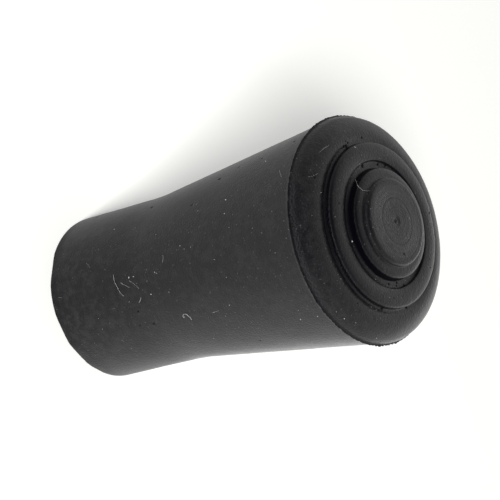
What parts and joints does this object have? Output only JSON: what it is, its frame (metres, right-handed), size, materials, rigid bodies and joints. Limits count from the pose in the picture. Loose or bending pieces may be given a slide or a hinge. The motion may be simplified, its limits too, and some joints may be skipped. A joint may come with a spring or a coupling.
{
  "type": "rubber cane tip",
  "caption": "Moulded rubber tip that presses onto the end of a cane or chair leg, with a flared sleeve, blind round socket and stepped tread.",
  "frame": {"origin": "centre of the socket's mouth, in the plane of the sleeve's end face, on which the tip stands", "axes": "+Z along the axis from the mouth to the tread, so the tread faces up; X and Y across it, all round alike"},
  "size_m": [0.0328, 0.0328, 0.055],
  "materials": {
    "rubber": "matt moulded black rubber, faintly greyed with handling and dusted with lint and specks"
  },
  "bodies": {
    "root": {"cane_tip": "rubber"}
  },
  "joints": []
}
